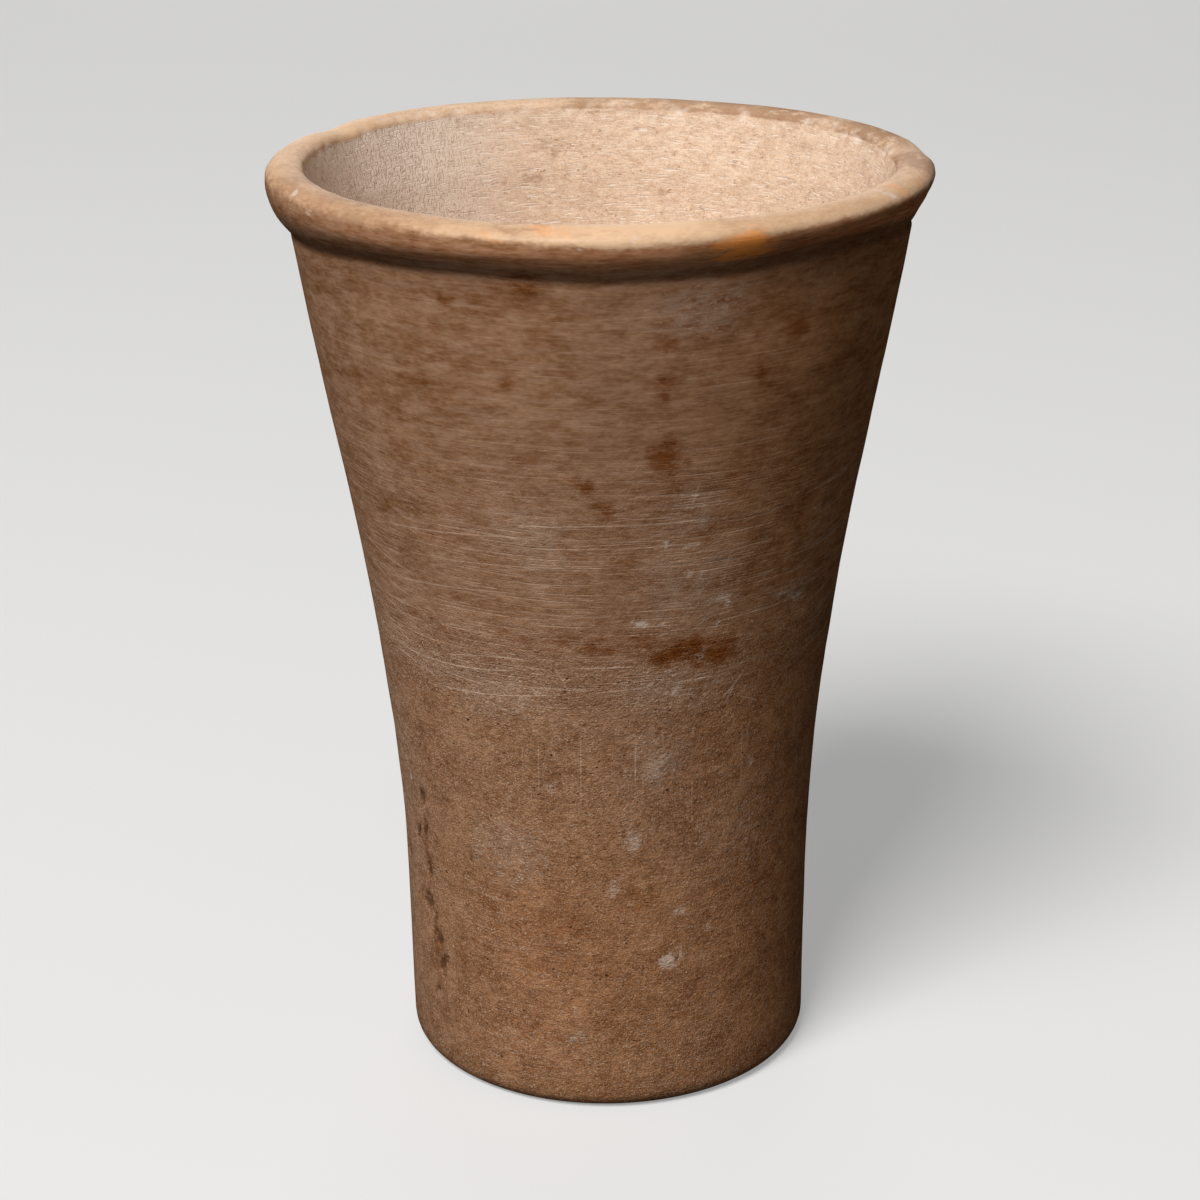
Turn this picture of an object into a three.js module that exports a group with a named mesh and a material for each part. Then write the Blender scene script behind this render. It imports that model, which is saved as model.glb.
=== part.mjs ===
// Conical stone vase: a one-piece beaker cut from a single block.
// A straight shaft stands on a flat foot, flares into a cone and ends in a rounded lip.
// Millimetres, +Z up, origin at the centre of the foot.
import * as THREE from "three";

// Outside wall
const HEIGHT = 130; // foot to the top of the lip
const FOOT_DIAMETER = 58;
const HEEL_ROUND = 2.4; // radius where the foot turns up into the wall
const SHAFT_DIAMETER = 58.4; // at the top of the straight lower wall
const SHAFT_HEIGHT = 22; // straight lower wall, above the foot
const SHAFT_PULL = 38.5; // how far the shaft's direction carries up into the flare
const CONE_DIAMETER = 83.9; // at the top of the cone, just below the groove
const CONE_ANGLE = 9; // degrees that the top of the cone leans out
const CONE_PULL = 25.7; // how far the cone's direction carries down into the flare

// Groove and lip, stacked down from the top of the lip
const LIP_CREST_DROP = 1.8; // from the top of the lip down to its widest ring
const LIP_UNDERSIDE = 6.6; // from the widest ring down to the groove
const GROOVE_ENTRY = 0.9; // from the groove down to the top of the cone
const GROOVE_DEPTH = 0.15; // groove cut in from the top of the cone
const LIP_OVERHANG = 3.1; // widest ring stands out from the groove
const LIP_FACE = 3; // how far the lip's face carries down before it turns in to the groove

// Inside
const CONE_WALL = 4.8; // wall at the top of the cone
const MOUTH_OPENING = 2.45; // how far the inside opens out from there to the lip's inner edge
const MOUTH_ROUND = 1.5; // height of the round at the lip's inner edge
const MOUTH_ROUND_WIDTH = 2.1; // from the lip's inner edge out to where the lip is highest
const SHAFT_WALL = 6.4; // wall round the bore
const BORE_STRAIGHT = 5; // straight stretch of the bore above the floor's round
const FLOOR_ROUND = 9; // radius where the drilled floor turns up into the bore
const FLOOR_THICKNESS = 12;

// Faceting of the revolved section
const FACETS_AROUND = 72;
const HEEL_STEPS = 3;
const FLARE_STEPS = 10;
const GROOVE_STEPS = 2;
const LIP_STEPS = 5;
const FLOOR_STEPS = 5;

const STONE_COLOUR = 0xa98265;
const STONE_ROUGHNESS = 0.7;

// Key points of the half section: x is the radius, y the height.
const point = (radius, height) => new THREE.Vector2(radius, height);
const stepFrom = (start, outward, upward) => point(start.x + outward, start.y + upward);

const coneDrop = LIP_CREST_DROP + LIP_UNDERSIDE + GROOVE_ENTRY;
const shaftTop = point(SHAFT_DIAMETER / 2, SHAFT_HEIGHT);
const coneTop = point(CONE_DIAMETER / 2, HEIGHT - coneDrop);
const groove = stepFrom(coneTop, -GROOVE_DEPTH, GROOVE_ENTRY);
const lipCrest = stepFrom(groove, LIP_OVERHANG, LIP_UNDERSIDE);
const innerConeTop = stepFrom(coneTop, -CONE_WALL, 0);
const mouthEdge = stepFrom(innerConeTop, MOUTH_OPENING, coneDrop - MOUTH_ROUND);
const lipTop = stepFrom(mouthEdge, MOUTH_ROUND_WIDTH, MOUTH_ROUND);
const boreRadius = shaftTop.x - SHAFT_WALL;
const boreTop = point(boreRadius, FLOOR_THICKNESS + FLOOR_ROUND + BORE_STRAIGHT);

// One smooth sweep from an upright shaft to a leaning cone.
function flareCurve(bottom, top) {
  const lean = THREE.MathUtils.degToRad(CONE_ANGLE);
  const coneFall = [-Math.sin(lean) * CONE_PULL, -Math.cos(lean) * CONE_PULL];
  return new THREE.CubicBezierCurve(
    bottom, stepFrom(bottom, 0, SHAFT_PULL), stepFrom(top, ...coneFall), top,
  );
}

// A quarter ellipse round a centre, from one quarter turn to another.
function quarterCurve(centre, across, up, fromQuarter, toQuarter) {
  const quarter = Math.PI / 2;
  const clockwise = toQuarter < fromQuarter;
  return new THREE.EllipseCurve(
    centre.x, centre.y, across, up, fromQuarter * quarter, toQuarter * quarter, clockwise,
  );
}

function outsideWall() {
  const heelCentre = point(FOOT_DIAMETER / 2 - HEEL_ROUND, HEEL_ROUND);
  return [
    ...quarterCurve(heelCentre, HEEL_ROUND, HEEL_ROUND, -1, 0).getPoints(HEEL_STEPS),
    ...flareCurve(shaftTop, coneTop).getPoints(FLARE_STEPS),
  ];
}

function lip() {
  const grooveCorner = stepFrom(groove, 0, -GROOVE_ENTRY / 2);
  const grooveEntry = new THREE.QuadraticBezierCurve(coneTop, grooveCorner, groove);
  const faceCorner = stepFrom(lipCrest, 0, -LIP_FACE);
  const underside = new THREE.QuadraticBezierCurve(groove, faceCorner, lipCrest);
  const outerCentre = point(lipTop.x, lipCrest.y);
  const outerTop = quarterCurve(outerCentre, lipCrest.x - lipTop.x, LIP_CREST_DROP, 0, 1);
  const innerCentre = point(lipTop.x, mouthEdge.y);
  const innerTop = quarterCurve(innerCentre, MOUTH_ROUND_WIDTH, MOUTH_ROUND, 1, 2);
  return [
    ...grooveEntry.getPoints(GROOVE_STEPS),
    ...underside.getPoints(LIP_STEPS),
    ...outerTop.getPoints(LIP_STEPS),
    ...innerTop.getPoints(LIP_STEPS),
  ];
}

function insideWall() {
  const floorCentre = point(boreRadius - FLOOR_ROUND, FLOOR_THICKNESS + FLOOR_ROUND);
  return [
    ...flareCurve(boreTop, innerConeTop).getPoints(FLARE_STEPS).reverse(),
    ...quarterCurve(floorCentre, FLOOR_ROUND, FLOOR_ROUND, 0, -1).getPoints(FLOOR_STEPS),
  ];
}

// The closed half section, from the axis at the foot, over the lip, to the axis at the floor.
function halfSection() {
  const spots = [
    point(0, 0),
    ...outsideWall(),
    ...lip(),
    ...insideWall(),
    point(0, FLOOR_THICKNESS),
  ];
  const sameSpot = 1e-6;
  return spots.filter((spot, i) => i === 0 || spot.distanceTo(spots[i - 1]) > sameSpot);
}

function vessel() {
  const geometry = new THREE.LatheGeometry(halfSection(), FACETS_AROUND);
  geometry.rotateX(Math.PI / 2);
  const stone = new THREE.MeshStandardMaterial({
    color: STONE_COLOUR, roughness: STONE_ROUGHNESS, metalness: 0,
  });
  const mesh = new THREE.Mesh(geometry, stone);
  mesh.name = "vessel";
  return mesh;
}

const vase = new THREE.Group();
vase.add(vessel());

export default vase;
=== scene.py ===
# %% [markdown]
# A conical stone vase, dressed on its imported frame.
# The real vase is one piece: a block of honey-brown calcite that was ground to a flared beaker,
# drilled out and finished with sand. Its looks are all in the hand work, so this lesson makes one
# fine mesh with the small errors of a hand-ground shape, and one stone with the marks of the sand.
# The frame comes first. It gives the size and place of the solid that the mesh stands for.

# %% Load the frame
import math

import bmesh
import bpy
import numpy as np
from mathutils import Euler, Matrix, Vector, noise
from mathutils.geometry import interpolate_bezier


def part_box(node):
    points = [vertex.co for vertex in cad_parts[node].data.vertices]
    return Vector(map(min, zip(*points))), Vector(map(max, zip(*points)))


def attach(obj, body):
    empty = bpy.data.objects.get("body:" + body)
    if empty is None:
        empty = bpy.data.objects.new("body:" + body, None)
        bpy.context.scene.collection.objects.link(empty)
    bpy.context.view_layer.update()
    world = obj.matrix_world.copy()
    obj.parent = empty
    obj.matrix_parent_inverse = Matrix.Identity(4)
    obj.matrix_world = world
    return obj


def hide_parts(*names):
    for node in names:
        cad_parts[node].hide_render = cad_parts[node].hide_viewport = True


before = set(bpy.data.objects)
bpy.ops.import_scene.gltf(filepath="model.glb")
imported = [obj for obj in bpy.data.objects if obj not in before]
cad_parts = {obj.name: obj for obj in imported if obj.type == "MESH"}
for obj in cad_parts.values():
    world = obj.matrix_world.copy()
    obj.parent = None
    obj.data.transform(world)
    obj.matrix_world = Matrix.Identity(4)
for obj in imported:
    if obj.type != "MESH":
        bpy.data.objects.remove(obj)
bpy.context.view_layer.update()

MM = 0.001
cad_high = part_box("vessel")[1]
print("frame:", list(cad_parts), "height", round(cad_high.z / MM, 1), "mm")

# %% [markdown]
# The camera repeats the photograph's view: a short telephoto lens, held a little above the vase and
# rolled by less than a degree. It could be placed by eye, but the rim and the foot are circles, and
# the two ellipses that they make in a picture fix the distance, the height and the pitch.

# %% Camera
CAMERA_PLACE = Vector((-0.74, -368.4, 204.8)) * MM
CAMERA_PITCH = math.radians(20.63)
CAMERA_ROLL = math.radians(0.72)
LENS_MM = 82.74
SENSOR_MM = 36.0
NEAREST_SEEN = 10 * MM

lens = bpy.data.cameras.new("camera")
lens.lens = LENS_MM
lens.sensor_width = SENSOR_MM
lens.clip_start = NEAREST_SEEN
camera = bpy.data.objects.new("camera", lens)
camera.location = CAMERA_PLACE
looking_level = math.radians(90)
camera.rotation_euler = (
    Euler((looking_level - CAMERA_PITCH, 0, 0)).to_matrix() @ Euler((0, 0, -CAMERA_ROLL)).to_matrix()
).to_euler()
bpy.context.scene.collection.objects.link(camera)
bpy.context.scene.camera = camera
print("camera:", LENS_MM, "mm lens,", round(camera.location.length, 3), "m from the foot")

# %% [markdown]
# The half section is the outline of the vase from the centre of the foot, up the outside, over the
# lip and down the inside to the centre of the floor. It could be a list of points, but a stone
# worker thinks in sweeps: a straight shaft, a long flare, a groove, a round lip. So each stretch is
# one Bezier sweep between two key points, all in millimetres as radius and height.

# %% Half section
HEIGHT = cad_high.z / MM
LIP_RADIUS = cad_high.x / MM
FOOT_RADIUS = 29.0
HEEL = 2.4
SHAFT_TOP = (29.2, 22.0)
CONE_TOP = (41.95, HEIGHT - 9.3)
GROOVE = (41.8, HEIGHT - 8.4)
CREST = (LIP_RADIUS, HEIGHT - 1.8)
LIP_FACE = 3.0
LIP_TOP = (41.7, HEIGHT)
MOUTH = (39.6, HEIGHT - 1.5)
INNER_CONE = (37.15, CONE_TOP[1])
BORE_TOP = (22.8, 26.0)
BORE_FOOT = (22.8, 21.0)
FLOOR_EDGE = (13.8, 12.0)
CONE_LEAN = math.radians(9)
CONE_PULL = 25.7
SHAFT_PULL = 38.5
QUARTER_ROUND = 0.5523
SOFT_BEND = 2 / 3


def toward(knot, other, share):
    """A point on the way from one knot to another."""
    return (knot[0] + (other[0] - knot[0]) * share, knot[1] + (other[1] - knot[1]) * share)


def bent(start, corner, end, pull):
    """A sweep from start to end that is drawn toward a corner."""
    return (start, toward(start, corner, pull), toward(end, corner, pull), end)


def straight(start, end):
    """A sweep that is drawn toward its own middle, so it doesn't bend."""
    return bent(start, toward(start, end, 0.5), end, SOFT_BEND)


def flare(bottom, top):
    """A sweep from an upright wall at the bottom to a leaning cone at the top."""
    lean = (math.sin(CONE_LEAN) * CONE_PULL, math.cos(CONE_LEAN) * CONE_PULL)
    return (bottom, (bottom[0], bottom[1] + SHAFT_PULL), (top[0] - lean[0], top[1] - lean[1]), top)


heel_start = (FOOT_RADIUS - HEEL, 0.0)
heel_end = (FOOT_RADIUS, HEEL)
SWEEPS = {
    "foot": straight((0.0, 0.0), heel_start),
    "heel": bent(heel_start, (FOOT_RADIUS, 0.0), heel_end, QUARTER_ROUND),
    "shaft": straight(heel_end, SHAFT_TOP),
    "cone": flare(SHAFT_TOP, CONE_TOP),
    "groove": bent(CONE_TOP, toward(GROOVE, (GROOVE[0], CONE_TOP[1]), 0.5), GROOVE, SOFT_BEND),
    "underside": bent(GROOVE, (CREST[0], CREST[1] - LIP_FACE), CREST, SOFT_BEND),
    "lip_outer": bent(CREST, (CREST[0], LIP_TOP[1]), LIP_TOP, QUARTER_ROUND),
    "lip_inner": bent(LIP_TOP, (MOUTH[0], LIP_TOP[1]), MOUTH, QUARTER_ROUND),
    "mouth": straight(MOUTH, INNER_CONE),
    "inner_cone": tuple(reversed(flare(BORE_TOP, INNER_CONE))),
    "bore": straight(BORE_TOP, BORE_FOOT),
    "floor_round": bent(BORE_FOOT, (BORE_FOOT[0], FLOOR_EDGE[1]), FLOOR_EDGE, QUARTER_ROUND),
    "floor": straight(FLOOR_EDGE, (0.0, FLOOR_EDGE[1])),
}
print("half section:", len(SWEEPS), "sweeps, lip", round(2 * LIP_RADIUS, 1), "mm across")

# %% [markdown]
# Each sweep is cut into steps of even length. Stretches that show get short steps, because the
# small errors of the hand are cut into them later, and the hidden floor gets long ones. Every point
# also carries two numbers: whether it lies inside, and how long the path along the section is up to
# it. The path goes on where the height turns back, so patterns can run over the lip without a break.

# %% Steps along the half section
STEP = {
    "heel": 0.5, "shaft": 0.8, "cone": 0.8, "groove": 0.45, "underside": 0.5,
    "lip_outer": 0.45, "lip_inner": 0.4, "mouth": 0.8, "inner_cone": 1.8,
}
HIDDEN_STEP = 3.5
FEWEST_STEPS = 2
SAMPLES = 200
INSIDE = ("mouth", "inner_cone", "bore", "floor_round", "floor")


def even_steps(sweep, step):
    """Points along one sweep, spaced evenly by length, without the last one."""
    dense = np.array(interpolate_bezier(*(Vector((r, 0, z)) for r, z in sweep), SAMPLES))
    length = np.append(0, np.cumsum(np.linalg.norm(np.diff(dense, axis=0), axis=1)))
    marks = np.linspace(0, length[-1], max(FEWEST_STEPS, round(length[-1] / step)) + 1)[:-1]
    return [(np.interp(m, length, dense[:, 0]), np.interp(m, length, dense[:, 2])) for m in marks]


section_points = []
for name, sweep in SWEEPS.items():
    for radius, height in even_steps(sweep, STEP.get(name, HIDDEN_STEP)):
        section_points.append((radius, height, float(name in INSIDE)))
section_points.append((0.0, FLOOR_EDGE[1], 1.0))
step_lengths = np.linalg.norm(np.diff(np.array(section_points)[:, :2], axis=0), axis=1)
section_path = np.append(0, np.cumsum(step_lengths))
print("half section:", len(section_points), "points, path", round(section_path[-1]), "mm")

# %% [markdown]
# The half section is spun once round the axis. A Screw modifier would do it too, but the spin
# operator leaves plain vertices that can be moved one by one, and it copies the numbers that each
# point carries to the whole ring.

# %% Spin the vessel
RING_STEPS = 360
MERGE_DISTANCE = 0.001 * MM

shape = bmesh.new()
inside_layer = shape.verts.layers.float.new("inside")
path_layer = shape.verts.layers.float.new("path")
chain = []
for (radius, height, is_inside), path in zip(section_points, section_path):
    vertex = shape.verts.new((0, -radius * MM, height * MM))
    vertex[inside_layer] = is_inside
    vertex[path_layer] = path
    chain.append(vertex)
for lower, upper in zip(chain, chain[1:]):
    shape.edges.new((lower, upper))
bmesh.ops.spin(
    shape, geom=shape.verts[:] + shape.edges[:], cent=(0, 0, 0), axis=(0, 0, 1),
    angle=math.tau, steps=RING_STEPS, use_merge=True, use_duplicate=False,
)
bmesh.ops.remove_doubles(shape, verts=shape.verts, dist=MERGE_DISTANCE)
bmesh.ops.recalc_face_normals(shape, faces=shape.faces)

mesh = bpy.data.meshes.new("vase")
shape.to_mesh(mesh)
shape.free()
mesh.shade_smooth()
vase = bpy.data.objects.new("vase", mesh)
bpy.context.scene.collection.objects.link(vase)
print("vessel:", len(mesh.vertices), "vertices,", len(mesh.polygons), "faces")

# %% [markdown]
# To cut errors and to paint marks, each vertex needs its address on the vase: the turn in degrees
# from the front, plus to the right, and the height in millimetres. An oval is the basic tool. It is
# 1 in the middle of a mark and fades to 0 at its edge, and it only touches one side of the wall. Its
# outline is ragged, because noise shifts every address by up to a millimetre first.

# %% Addresses on the vase
RAGGED = 1.3
RAGGED_SIZE = 2.4
RAGGED_SEEDS = (21, 22)
SEED_SHIFT = (17.3, 5.1, 9.7)


def read(layer, width):
    """The numbers of one vertex layer, as rows of this width."""
    values = np.empty(len(mesh.vertices) * width)
    layer[0].foreach_get(layer[1], values)
    return values.reshape(-1, width)


place = read((mesh.vertices, "co"), 3) / MM
normal = read((mesh.vertices, "normal"), 3)
inside = read((mesh.attributes["inside"].data, "value"), 1)[:, 0]
outside = 1 - inside
turn = np.degrees(np.arctan2(place[:, 0], -place[:, 1]))
height = place[:, 2].copy()
radius = np.hypot(place[:, 0], place[:, 1])


def away(at_turn):
    """Degrees from a turn, the short way round."""
    return (turn - at_turn + 180) % 360 - 180


def ease(value, low, high):
    """0 below low, 1 above high, and a smooth step between."""
    share = np.clip((value - low) / (high - low), 0, 1)
    return share * share * (3 - 2 * share)


def band(value, start, full, fading, end):
    """1 from full to fading, eased to 0 at start and at end."""
    return ease(value, start, full) * (1 - ease(value, fading, end))


def near(at_turn, full, end):
    """1 within so many degrees of a turn, eased to 0 at the end."""
    return 1 - ease(np.abs(away(at_turn)), full, end)


def roll(size, seed):
    """Smooth noise of about -1 to 1 at every vertex, with swells of this size in millimetres."""
    shift = Vector([seed * step for step in SEED_SHIFT])
    return np.array([noise.noise(Vector(spot) / size + shift) for spot in place])


ragged_across, ragged_up = (RAGGED * roll(RAGGED_SIZE, seed) for seed in RAGGED_SEEDS)


def oval(at_turn, at_height, wide, tall, side=outside):
    """A mark on one side of the wall, with its half width and half height in millimetres."""
    across = (np.radians(away(at_turn)) * radius + ragged_across) / wide
    up = (height - at_height + ragged_up) / tall
    return np.clip(1 - across ** 2 - up ** 2, 0, 1) * side


print("addresses:", round(turn.min()), "to", round(turn.max()), "degrees,", round(height.max()), "mm")

# %% [markdown]
# A vase that is ground by hand is never quite round. Long swells come from the rubbing stone, short
# ones from the sand. The rim rises a little at the back on the left and dips in two places, the
# groove wanders up and down, the lip is fuller on the left than on the right, and the shaft stands a
# hair to the left of the rim. Noise alone would give an even wobble, so the large errors are placed
# one by one, and noise only adds the small ones. Each error has heights where it starts and is full,
# and some have heights where it fades and ends.

# %% Errors of the hand
# size and depth of each swell, in millimetres
SWELLS = ((24.0, 0.14), (9.0, 0.06), (3.5, 0.03))
SWELL_HEIGHTS = (0.3, 3.0)
RIM_LIFT = 0.65
RIM_LIFT_TURN = -110
RIM_HEIGHTS = (105, 126)
# turn, half width in degrees and depth of each dip
RIM_DIPS = ((-118, 9, 0.45), (96, 9, 0.4))
GROOVE_HEIGHTS = (108, 120.5, 121.8, 128)
GROOVE_TURNS = (-130, -100, -86, -77, -62, -45, -22, 0, 12, 22, 32, 45, 58, 75, 95)
GROOVE_CLIMBS = (0, 1.6, 1.2, -0.3, 0.3, 1.3, 1.7, 1.2, 1.4, 1.6, 2.3, 2.7, 2.2, 0.7, 0)
LIP_FULL_LEFT = 0.3
LIP_THIN_RIGHT = 0.45
LIP_HEIGHTS = (121.5, 124.5, 126, 128.5)
SHAFT_ASIDE = 0.2
SHAFT_END = (98, 118)

swell = sum(depth * roll(size, seed) for seed, (size, depth) in enumerate(SWELLS))
swell *= ease(height, *SWELL_HEIGHTS)
rim_lift = RIM_LIFT * np.clip(np.cos(np.radians(away(RIM_LIFT_TURN))), 0, 1)
for at_turn, half_width, depth in RIM_DIPS:
    rim_lift -= depth * near(at_turn, 0, half_width)
rim_lift *= ease(height, *RIM_HEIGHTS)
groove_share = band(height, *GROOVE_HEIGHTS) * outside
groove_climb = np.interp(turn, GROOVE_TURNS, GROOVE_CLIMBS, period=360) * groove_share
lip_share = band(height, *LIP_HEIGHTS) * outside
sideways = np.sin(np.radians(turn))
lip_swell = np.where(sideways < 0, -LIP_FULL_LEFT, -LIP_THIN_RIGHT) * sideways * lip_share
shaft_aside = SHAFT_ASIDE * (1 - ease(height, *SHAFT_END))
print("swell:", round(swell.min(), 2), "to", round(swell.max(), 2), "mm")

# %% [markdown]
# The stone has real holes too. A soft vein runs down the left side, where grains have fallen out and
# left a row of pits, one grain is missing nearer the front, and the inner edge of the rim is chipped,
# most of all at the back on the right. A bump could fake them, but dents in the mesh also show in the
# outline.

# %% Pits and chips
# turn, height, half width, half height, depth
PITS = (
    (-60, 42.4, 1.0, 1.6, 0.22),
    (-59.6, 37.4, 1.1, 2.3, 0.3),
    (-64.9, 36.2, 0.9, 1.8, 0.3),
    (-58.5, 31.3, 1.1, 2.2, 0.3),
    (-60.7, 26.0, 0.9, 1.8, 0.3),
    (-57.3, 24.6, 0.9, 1.6, 0.3),
    (-55.7, 21.5, 1.1, 2.1, 0.3),
    (-53.3, 17.2, 1.1, 2.3, 0.3),
    (-57.1, 13.1, 0.9, 1.6, 0.25),
    (-76.9, 30.2, 1.2, 2.0, 0.5),
    (-77.1, 39.8, 1.0, 1.1, 0.45),
    (-79.7, 34.0, 0.9, 1.4, 0.45),
    (-39.3, 36.9, 0.8, 0.7, 0.3),
)
CHIP_DEPTH = 0.4
CHIP_SIZE = 1.4
CHIP_SEED = 8
CHIP_NOISE = (0.15, 0.6)
CHIP_HEIGHTS = (126.5, 128.3)
CHIP_RADII = (40.2, 41.3)
# turn of the middle, then the degrees from it where the chips fade and end
CHIP_TURNS = (130, 30, 55)
CHIPS_ELSEWHERE = 0.5

pitted = np.zeros(len(turn))
for at_turn, at_height, wide, tall, depth in PITS:
    dent = oval(at_turn, at_height, wide, tall)
    swell -= depth * dent
    pitted = np.maximum(pitted, dent)
inner_edge = ease(height, *CHIP_HEIGHTS) * (1 - ease(radius, *CHIP_RADII))
chipped_turns = CHIPS_ELSEWHERE + (1 - CHIPS_ELSEWHERE) * near(*CHIP_TURNS)
chipped = ease(roll(CHIP_SIZE, CHIP_SEED), *CHIP_NOISE) * inner_edge * chipped_turns
swell -= CHIP_DEPTH * chipped
print("pits:", len(PITS), "chipped vertices:", int((chipped > 0).sum()))

# %% [markdown]
# Now the mesh takes on all these errors at once. A Displace modifier moves vertices along their
# normals only. Here the rim also lifts, the groove climbs, the lip swells outward and the shaft
# stands aside, so each vertex gets the sum of its own moves.

# %% Move the vertices
moved = place + normal * swell[:, None]
moved[:, 2] += rim_lift + groove_climb
outward = place[:, :2] / np.maximum(radius, 1)[:, None]
moved[:, :2] += outward * lip_swell[:, None]
moved[:, 0] -= shaft_aside
mesh.vertices.foreach_set("co", (moved * MM).ravel())
mesh.update()
print("moved:", round(np.abs(moved - place).max(), 2), "mm at most")

# %% [markdown]
# The large marks of the stone are painted on the vertices: rust-brown stains, specks of lime, a grey
# film of old dust, honey and brown patches on the lip, and smudges inside. A few of the grey patches
# are painted light, not dust. A picture of the stone could be projected on the mesh, but ovals are
# easier to read and to change, and the shader frays their edges with noise.

# %% Paint the marks
# turn, height, half width, half height, strength
STAINS = (
    (21.6, 70.2, 8.0, 3.0, 1.0),
    (26.8, 69.4, 4.2, 2.2, 1.0),
    (14.6, 70.4, 4.4, 2.2, 1.0),
    (3.0, 72.4, 9.5, 2.6, 0.7),
    (-8.0, 73.0, 7.5, 2.1, 0.5),
    (12.2, 99.2, 3.6, 3.8, 0.95),
    (-14.0, 121.0, 5.0, 3.6, 0.75),
    (10.0, 113.6, 6.4, 1.1, 0.6),
    (10.8, 109.0, 1.8, 4.8, 0.65),
    (18.4, 109.8, 1.8, 3.4, 0.5),
    (28.8, 109.2, 2.4, 3.0, 0.65),
    (37.0, 113.8, 3.8, 1.8, 0.65),
    (44.8, 99.1, 5.0, 6.0, 0.4),
    (46.5, 89.0, 4.5, 6.5, 0.5),
    (29.4, 94.6, 4.5, 5.0, 0.5),
    (32.6, 79.2, 3.2, 3.2, 0.6),
    (-14.9, 72.8, 6.0, 3.0, 0.5),
    (3.2, 55.2, 6.0, 3.6, 0.4),
    (8.4, 33.0, 6.0, 4.6, 0.45),
    (-13.3, 29.9, 6.0, 5.0, 0.35),
    (-2.6, 95.7, 2.0, 1.6, 1.0),
    (-6.5, 96.2, 2.3, 1.1, 0.8),
    (0.2, 92.1, 2.8, 1.3, 0.85),
    (2.8, 85.5, 4.4, 1.7, 0.55),
    (-17.0, 109.1, 2.4, 2.6, 0.65),
    (-28.8, 118.7, 2.0, 1.3, 0.75),
    (-39.3, 91.5, 7.0, 5.5, 0.35),
    (-40.0, 108.0, 1.9, 1.6, 0.5),
    (24.0, 56.0, 5.0, 2.6, 0.4),
    (40.0, 50.0, 3.0, 1.6, 0.4),
    (-60.0, 34.0, 1.3, 9.0, 0.55),
    (-56.5, 19.0, 1.3, 8.0, 0.55),
)
LIMES = (
    (16.1, 22.9, 1.5, 1.9, 1.0),
    (20.4, 23.9, 1.0, 1.1, 0.9),
    (6.2, 42.1, 2.2, 3.0, 0.75),
    (13.2, 53.3, 3.4, 4.2, 0.5),
    (1.7, 35.1, 1.8, 1.8, 0.6),
    (19.5, 30.4, 1.8, 1.2, 0.7),
    (28.6, 27.3, 0.9, 1.1, 0.8),
    (40.2, 51.2, 0.9, 1.5, 0.75),
    (-14.2, 50.4, 1.6, 1.4, 0.55),
    (-9.8, 11.5, 2.2, 1.2, 0.6),
    (13.0, 87.4, 0.8, 1.3, 0.95),
    (7.7, 75.9, 2.2, 0.9, 1.0),
    (26.1, 77.7, 2.0, 0.8, 0.75),
    (43.5, 75.8, 3.6, 1.0, 0.75),
    (49.0, 74.6, 3.0, 1.2, 0.75),
    (21.0, 81.5, 1.8, 1.4, 0.55),
    (17.0, 65.4, 1.0, 1.5, 0.7),
    (22.2, 70.0, 2.2, 1.1, 0.5),
    (-68.0, 47.0, 0.8, 1.6, 0.8),
    (-66.5, 44.4, 0.7, 1.3, 0.7),
    (-70.0, 50.0, 0.7, 1.3, 0.7),
    (19.0, 96.9, 0.9, 1.0, 0.6),
    (19.0, 93.2, 1.0, 1.2, 0.6),
    (20.7, 88.5, 0.9, 1.0, 0.7),
    (18.3, 86.1, 1.0, 0.9, 0.8),
    (17.8, 82.5, 1.0, 1.0, 0.7),
    (20.6, 79.2, 1.2, 0.8, 0.7),
    (13.1, 74.7, 1.2, 0.7, 0.8),
    (25.2, 74.0, 1.4, 0.9, 0.7),
    (32.1, 80.4, 1.0, 0.8, 0.6),
    (28.8, 77.1, 1.2, 0.7, 0.7),
)
# grey film of dust, and painted light: the tall patch on the left edge of the shaft stands in for light
# from the left, and the patch under the lip at 42 degrees lifts its shade
HAZES_AND_LIGHT = (
    (20, 80, 12, 10, 0.8),
    (19, 91, 6, 7, 0.7),
    (48, 76, 7, 3, 0.9),
    (-15.5, 88, 8, 7, 0.95),
    (-40, 66, 22, 5, 0.8),
    (-26, 63.5, 12, 5, 1.0),
    (-27, 40, 10, 8, 0.9),
    (17, 117.5, 10, 5, 1.0),
    (15, 65, 11, 5, 0.9),
    (12, 55, 8, 8, 0.8),
    (36, 42, 14, 14, 0.6),
    (0, 9, 34, 8, 0.45),
    (22, 118, 12, 4, 0.4),
    (42, 118, 9, 4, 0.5),
    (-74, 46, 14, 42, 0.7),
)
HONEYS = (
    (23.3, 126.4, 5.8, 3.4, 1.0),
    (14, 127.0, 8.0, 2.6, 0.2),
    (-8.5, 129.8, 4.0, 1.4, 0.4),
    (-16, 128.6, 4.0, 1.0, 0.45),
    (60, 129.6, 1.4, 3.0, 0.45),
    (68, 128.6, 3.4, 1.8, 0.4),
)
RIM_BROWNS = (
    (140, 129.6, 12, 3.5, 0.9),
    (112, 129.6, 13, 3.5, 0.9),
    (84, 129.4, 9, 3, 0.95),
    (165, 129.6, 10, 3.5, 0.7),
    (152, 129.6, 9, 3.5, 0.8),
    (180, 129.6, 10, 3.5, 0.6),
    (-68, 128.8, 7, 2.5, 0.6),
    (-45, 128.6, 9, 2.5, 0.6),
    (-13, 130.0, 6, 1.2, 0.6),
)
RIM_LIMES = (
    (56, 129.3, 1.0, 1.0, 1.0),
    (-63.1, 129.1, 1.2, 0.9, 1.0),
    (-55, 128.0, 1.0, 0.8, 0.9),
    (5.3, 128.8, 0.9, 0.7, 0.9),
    (-3, 128.2, 1.1, 0.8, 0.9),
)
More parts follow.
